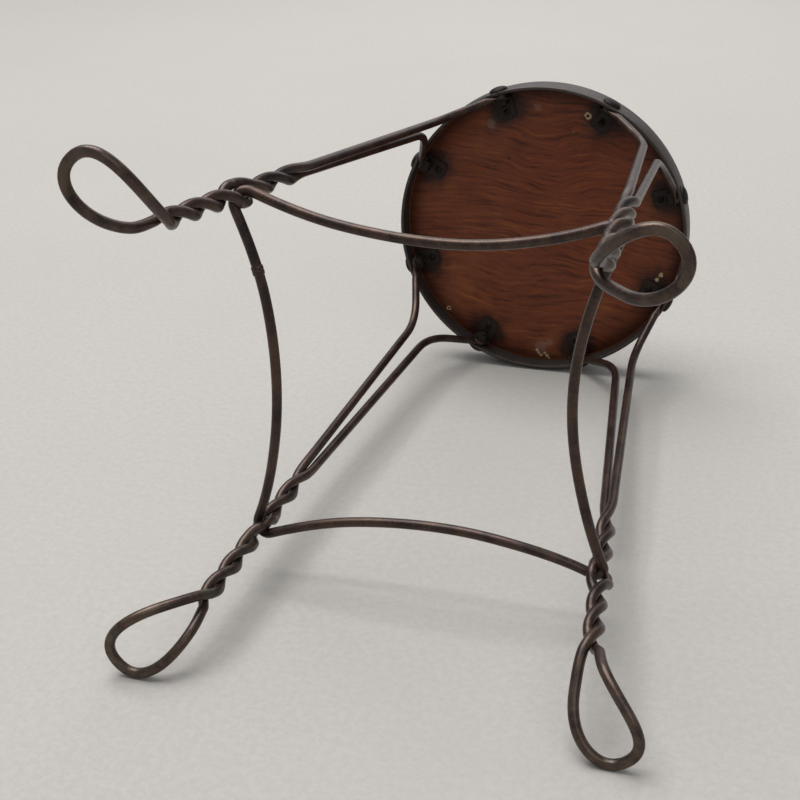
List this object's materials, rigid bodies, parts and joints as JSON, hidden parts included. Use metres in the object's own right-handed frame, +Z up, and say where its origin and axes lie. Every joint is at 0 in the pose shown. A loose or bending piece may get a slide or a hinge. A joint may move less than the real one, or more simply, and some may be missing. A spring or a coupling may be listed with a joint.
{
  "type": "wire stool",
  "caption": "Soda-fountain stool: round plywood seat in a flat steel hoop on twisted bent-wire legs with loop feet and a bowed wire stretcher ring.",
  "frame": {"origin": "on the floor, under the middle of the stool's bounding box", "axes": "+Z up through the seat; -Y is the front, so the legs stand on the diagonals"},
  "size_m": [0.4144, 0.4268, 0.612],
  "materials": {
    "wire_steel": "dark brown-black worn paint over steel wire, satin",
    "hoop_steel": "grey-brown worn paint over flat steel, satin",
    "fixing_steel": "dark oxidised steel, dull",
    "seat_plywood": "red-brown stained and varnished plywood, wavy grain, worn"
  },
  "bodies": {
    "root": {"seat_hoop": "hoop_steel", "seat_panel": "seat_plywood", "leg_front_right": "wire_steel", "leg_front_left": "wire_steel", "leg_rear_left": "wire_steel", "leg_rear_right": "wire_steel", "stretcher_ring": "wire_steel", "hoop_bolt_1": "fixing_steel", "hoop_bolt_2": "fixing_steel", "hoop_bolt_3": "fixing_steel", "hoop_bolt_4": "fixing_steel", "hoop_bolt_5": "fixing_steel", "hoop_bolt_6": "fixing_steel", "hoop_bolt_7": "fixing_steel", "hoop_bolt_8": "fixing_steel", "seat_clip_1": "fixing_steel", "seat_clip_2": "fixing_steel", "seat_clip_3": "fixing_steel", "seat_clip_4": "fixing_steel", "seat_clip_5": "fixing_steel", "seat_clip_6": "fixing_steel", "seat_clip_7": "fixing_steel", "seat_clip_8": "fixing_steel", "square_nut_1": "fixing_steel", "square_nut_2": "fixing_steel", "square_nut_3": "fixing_steel", "square_nut_4": "fixing_steel", "square_nut_5": "fixing_steel", "square_nut_6": "fixing_steel", "square_nut_7": "fixing_steel", "square_nut_8": "fixing_steel", "clip_screw_1": "fixing_steel", "clip_screw_2": "fixing_steel", "clip_screw_3": "fixing_steel", "clip_screw_4": "fixing_steel", "clip_screw_5": "fixing_steel", "clip_screw_6": "fixing_steel", "clip_screw_7": "fixing_steel", "clip_screw_8": "fixing_steel"}
  },
  "joints": []
}
